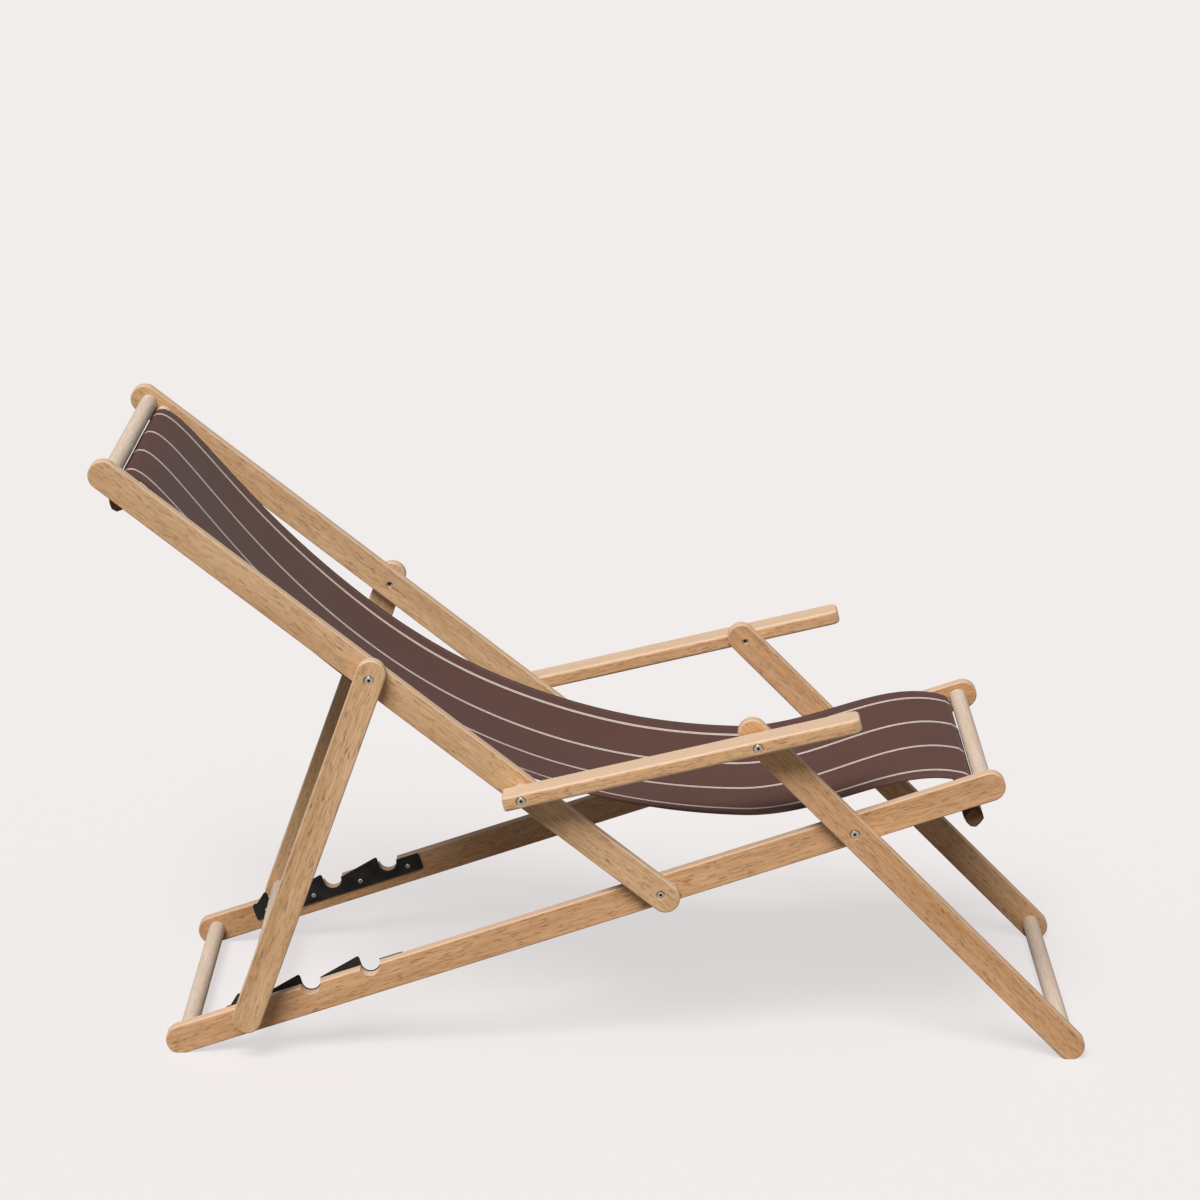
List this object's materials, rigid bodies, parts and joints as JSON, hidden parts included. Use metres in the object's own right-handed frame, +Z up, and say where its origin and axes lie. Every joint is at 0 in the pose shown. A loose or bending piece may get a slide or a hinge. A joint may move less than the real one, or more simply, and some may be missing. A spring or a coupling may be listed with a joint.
{
  "type": "folding beach chair",
  "caption": "Folding wooden deck chair with armrests, a striped fabric sling and a back that reclines on notched steel plates.",
  "frame": {"origin": "on the ground, under the middle of the open chair", "axes": "+X towards the foot end, +Y towards the sitter's left, +Z up"},
  "size_m": [1.3421, 0.6256, 0.8374],
  "materials": {
    "oiled_hardwood": "oiled, satin",
    "pale_bar_wood": "sanded, matt",
    "stick_wood": "raw, matt",
    "black_steel": "black powder coat, matt",
    "bright_steel": "bright",
    "nylon": "matt",
    "striped_canvas": "woven, dark brown with four pairs of thin cream stripes"
  },
  "bodies": {
    "seat_frame": {"seat_rail_left": "oiled_hardwood", "seat_rail_right": "oiled_hardwood", "rear_bar": "pale_bar_wood", "front_bar": "pale_bar_wood", "front_sling_bar": "pale_bar_wood", "notch_plate_left": "black_steel", "plate_screw_left_1": "bright_steel", "plate_screw_left_2": "bright_steel", "plate_screw_left_3": "bright_steel", "plate_screw_left_4": "bright_steel", "notch_plate_right": "black_steel", "plate_screw_right_1": "bright_steel", "plate_screw_right_2": "bright_steel", "plate_screw_right_3": "bright_steel", "plate_screw_right_4": "bright_steel", "back_pivot_bolt_left": "bright_steel", "back_pivot_nut_left": "bright_steel", "back_pivot_washer_left": "nylon", "back_pivot_bolt_right": "bright_steel", "back_pivot_nut_right": "bright_steel", "back_pivot_washer_right": "nylon", "leg_pivot_bolt_left": "bright_steel", "leg_pivot_nut_left": "bright_steel", "leg_pivot_washer_left": "nylon", "leg_pivot_bolt_right": "bright_steel", "leg_pivot_nut_right": "bright_steel", "leg_pivot_washer_right": "nylon", "sling": "striped_canvas", "front_stick": "stick_wood"},
    "back_frame": {"back_rail_left": "oiled_hardwood", "back_rail_right": "oiled_hardwood", "head_bar": "pale_bar_wood", "head_sling_bar": "pale_bar_wood", "head_stick": "stick_wood", "prop_pivot_bolt_left": "bright_steel", "prop_pivot_nut_left": "bright_steel", "prop_pivot_washer_left": "nylon", "prop_pivot_bolt_right": "bright_steel", "prop_pivot_nut_right": "bright_steel", "prop_pivot_washer_right": "nylon", "arm_rear_pivot_bolt_left": "bright_steel", "arm_rear_pivot_nut_left": "bright_steel", "arm_rear_pivot_washer_left": "nylon", "arm_rear_pivot_bolt_right": "bright_steel", "arm_rear_pivot_nut_right": "bright_steel", "arm_rear_pivot_washer_right": "nylon"},
    "front_legs": {"front_leg_left": "oiled_hardwood", "arm_front_pivot_nut_left": "bright_steel", "front_leg_right": "oiled_hardwood", "arm_front_pivot_nut_right": "bright_steel", "foot_bar": "pale_bar_wood"},
    "prop_frame": {"prop_leg_left": "oiled_hardwood", "prop_leg_right": "oiled_hardwood", "prop_bar": "pale_bar_wood"},
    "armrests": {"armrest_left": "oiled_hardwood", "arm_front_pivot_bolt_left": "bright_steel", "armrest_right": "oiled_hardwood", "arm_front_pivot_bolt_right": "bright_steel"}
  },
  "joints": [
    {"name": "back_fold", "type": "hinge", "parent": "seat_frame", "child": "back_frame", "pos_m": [0.08949, 0, 0.2353], "axis": [0, 1, 0], "range_deg": [-56.37, 12.4], "deforming": ["sling"]},
    {"name": "front_leg_fold", "type": "hinge", "parent": "seat_frame", "child": "front_legs", "pos_m": [0.35167, 0, 0.32153], "axis": [0, 1, 0], "range_deg": [-63.6, 14]},
    {"name": "armrest_fold", "type": "hinge", "parent": "back_frame", "child": "armrests", "pos_m": [-0.09841, 0, 0.383], "axis": [0, 1, 0], "range_deg": [-11.3, 51.4]},
    {"name": "prop_swing", "type": "hinge", "parent": "back_frame", "child": "prop_frame", "pos_m": [-0.30124, 0, 0.54245], "axis": [0, -1, 0], "range_deg": [-108.33, 0]}
  ],
  "couplings": [
    {"joint": "front_leg_fold", "follows": "back_fold", "ratio": 1.1273},
    {"joint": "armrest_fold", "follows": "back_fold", "ratio": -0.9095}
  ]
}
